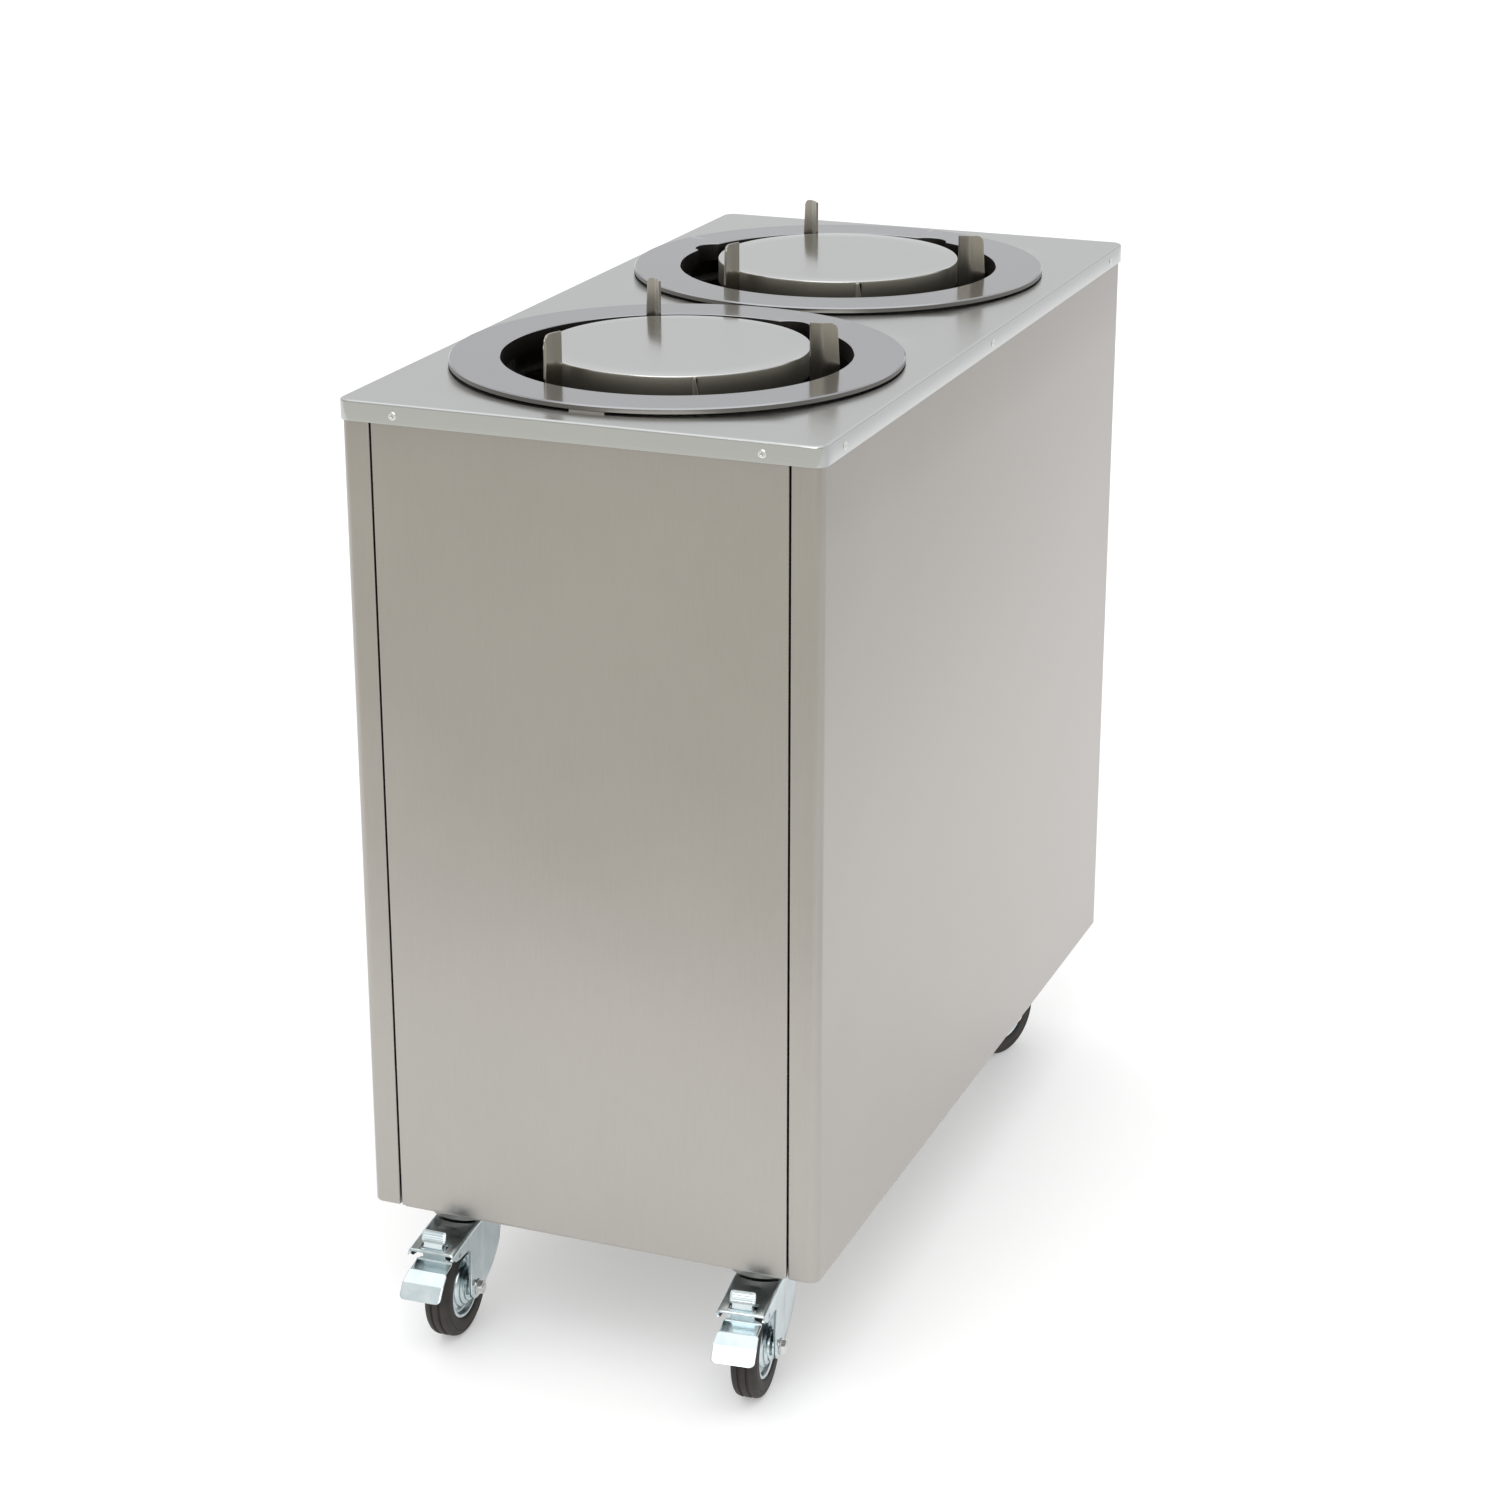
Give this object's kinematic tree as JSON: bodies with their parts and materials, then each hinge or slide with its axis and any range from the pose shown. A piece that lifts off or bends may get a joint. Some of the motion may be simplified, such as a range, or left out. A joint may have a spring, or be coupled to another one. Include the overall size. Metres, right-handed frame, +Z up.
{
  "type": "plate dispenser cart",
  "caption": "Stainless steel plate dispenser cart with two sprung round plate wells in its top, on swivel casters with brakes at one end.",
  "frame": {"origin": "on the floor, under the middle of the cart's outline", "axes": "+Z up, +Y along the cart away from the end with the brakes, +X to the right seen from that end"},
  "size_m": [0.4566, 0.974, 0.9615],
  "materials": {
    "cabinet_sheet": "brushed",
    "cover_sheet": "brushed",
    "ring_sheet": "fine brushed",
    "carrier_sheet": "fine brushed",
    "blade_sheet": "satin",
    "frame_steel": "mill",
    "zinc_plate": "bright zinc plated",
    "rubber": "matt",
    "fastener_steel": "bright",
    "spring_steel": "oiled",
    "glide_plastic": "matt"
  },
  "bodies": {
    "cart": {"top_cover": "cover_sheet", "left_side_panel": "cabinet_sheet", "right_side_panel": "cabinet_sheet", "front_panel": "cabinet_sheet", "rear_panel": "cabinet_sheet", "base_plate": "frame_steel", "inner_frame": "frame_steel", "caster_pads": "frame_steel", "cover_rivets": "fastener_steel", "front_ring_tab": "frame_steel", "caster_bolts": "fastener_steel", "caster_plates": "zinc_plate", "front_well_ring": "ring_sheet", "front_cage_hoop": "frame_steel", "front_guide_columns": "frame_steel", "front_cage_base": "frame_steel", "front_blade_rods": "frame_steel", "front_springs": "spring_steel", "rear_well_ring": "ring_sheet", "rear_cage_hoop": "frame_steel", "rear_guide_columns": "frame_steel", "rear_cage_base": "frame_steel", "rear_blade_rods": "frame_steel", "rear_springs": "spring_steel"},
    "front_carrier": {"front_carrier_plate": "carrier_sheet", "front_carrier_stem": "frame_steel", "front_carrier_spider": "frame_steel", "front_carrier_glides": "glide_plastic"},
    "front_blade_1": {"front_guide_blade_1": "blade_sheet"},
    "front_blade_2": {"front_guide_blade_2": "blade_sheet"},
    "front_blade_3": {"front_guide_blade_3": "blade_sheet"},
    "rear_carrier": {"rear_carrier_plate": "carrier_sheet", "rear_carrier_stem": "frame_steel", "rear_carrier_spider": "frame_steel", "rear_carrier_glides": "glide_plastic"},
    "rear_blade_1": {"rear_guide_blade_1": "blade_sheet"},
    "rear_blade_2": {"rear_guide_blade_2": "blade_sheet"},
    "rear_blade_3": {"rear_guide_blade_3": "blade_sheet"},
    "front_left_swivel": {"front_left_fork": "zinc_plate", "front_left_axle": "fastener_steel", "front_left_pedal_pin": "fastener_steel"},
    "front_left_wheel": {"front_left_rim": "zinc_plate", "front_left_tyre": "rubber"},
    "front_left_pedal": {"front_left_brake_pedal": "zinc_plate", "front_left_brake_shoe": "rubber"},
    "front_right_swivel": {"front_right_fork": "zinc_plate", "front_right_axle": "fastener_steel", "front_right_pedal_pin": "fastener_steel"},
    "front_right_wheel": {"front_right_rim": "zinc_plate", "front_right_tyre": "rubber"},
    "front_right_pedal": {"front_right_brake_pedal": "zinc_plate", "front_right_brake_shoe": "rubber"},
    "rear_left_swivel": {"rear_left_fork": "zinc_plate", "rear_left_axle": "fastener_steel"},
    "rear_left_wheel": {"rear_left_rim": "zinc_plate", "rear_left_tyre": "rubber"},
    "rear_right_swivel": {"rear_right_fork": "zinc_plate", "rear_right_axle": "fastener_steel"},
    "rear_right_wheel": {"rear_right_rim": "zinc_plate", "rear_right_tyre": "rubber"}
  },
  "joints": [
    {"name": "front_carrier_sink", "type": "slide", "parent": "cart", "child": "front_carrier", "axis": [0, 0, -1], "range_m": [0, 0.43], "stiffness_N_per_m": 800, "springref_m": -0.12, "deforming": ["front_springs"]},
    {"name": "front_blade_1_turn", "type": "hinge", "parent": "cart", "child": "front_blade_1", "pos_m": [0.1437, -0.17492, 0.884], "axis": [0, 0, 1], "range_deg": [0, 70]},
    {"name": "front_blade_2_turn", "type": "hinge", "parent": "cart", "child": "front_blade_2", "pos_m": [-0.0884, -0.05559, 0.884], "axis": [0, 0, 1], "range_deg": [0, 70]},
    {"name": "front_blade_3_turn", "type": "hinge", "parent": "cart", "child": "front_blade_3", "pos_m": [-0.0757, -0.31626, 0.884], "axis": [0, 0, 1], "range_deg": [0, 70]},
    {"name": "rear_carrier_sink", "type": "slide", "parent": "cart", "child": "rear_carrier", "axis": [0, 0, -1], "range_m": [0, 0.43], "stiffness_N_per_m": 800, "springref_m": -0.12, "deforming": ["rear_springs"]},
    {"name": "rear_blade_1_turn", "type": "hinge", "parent": "cart", "child": "rear_blade_1", "pos_m": [0.1437, 0.24908, 0.884], "axis": [0, 0, 1], "range_deg": [0, 70]},
    {"name": "rear_blade_2_turn", "type": "hinge", "parent": "cart", "child": "rear_blade_2", "pos_m": [-0.0884, 0.36841, 0.884], "axis": [0, 0, 1], "range_deg": [0, 70]},
    {"name": "rear_blade_3_turn", "type": "hinge", "parent": "cart", "child": "rear_blade_3", "pos_m": [-0.0757, 0.10774, 0.884], "axis": [0, 0, 1], "range_deg": [0, 70]},
    {"name": "front_left_swivel", "type": "hinge", "parent": "cart", "child": "front_left_swivel", "pos_m": [-0.1535, -0.36525, 0.125], "axis": [0, 0, 1], "continuous": true},
    {"name": "front_left_wheel", "type": "hinge", "parent": "front_left_swivel", "child": "front_left_wheel", "pos_m": [-0.15189, -0.40222, 0.05], "axis": [0.999, 0.0436, 0], "continuous": true},
    {"name": "front_left_brake", "type": "hinge", "parent": "front_left_swivel", "child": "front_left_pedal", "pos_m": [-0.15014, -0.44218, 0.1045], "axis": [0.999, 0.0436, 0], "range_deg": [0, 10]},
    {"name": "front_right_swivel", "type": "hinge", "parent": "cart", "child": "front_right_swivel", "pos_m": [0.1535, -0.36525, 0.125], "axis": [0, 0, 1], "continuous": true},
    {"name": "front_right_wheel", "type": "hinge", "parent": "front_right_swivel", "child": "front_right_wheel", "pos_m": [0.15737, -0.40205, 0.05], "axis": [0.9945, 0.1045, 0], "continuous": true},
    {"name": "front_right_brake", "type": "hinge", "parent": "front_right_swivel", "child": "front_right_pedal", "pos_m": [0.16155, -0.44183, 0.1045], "axis": [0.9945, 0.1045, 0], "range_deg": [0, 10]},
    {"name": "rear_left_swivel", "type": "hinge", "parent": "cart", "child": "rear_left_swivel", "pos_m": [-0.1535, 0.42474, 0.125], "axis": [0, 0, 1], "continuous": true},
    {"name": "rear_left_wheel", "type": "hinge", "parent": "rear_left_swivel", "child": "rear_left_wheel", "pos_m": [-0.15929, 0.3882, 0.05], "axis": [0.9877, -0.1564, 0], "continuous": true},
    {"name": "rear_right_swivel", "type": "hinge", "parent": "cart", "child": "rear_right_swivel", "pos_m": [0.1535, 0.42474, 0.125], "axis": [0, 0, 1], "continuous": true},
    {"name": "rear_right_wheel", "type": "hinge", "parent": "rear_right_swivel", "child": "rear_right_wheel", "pos_m": [0.14084, 0.38998, 0.05], "axis": [0.9397, -0.342, 0], "continuous": true}
  ]
}
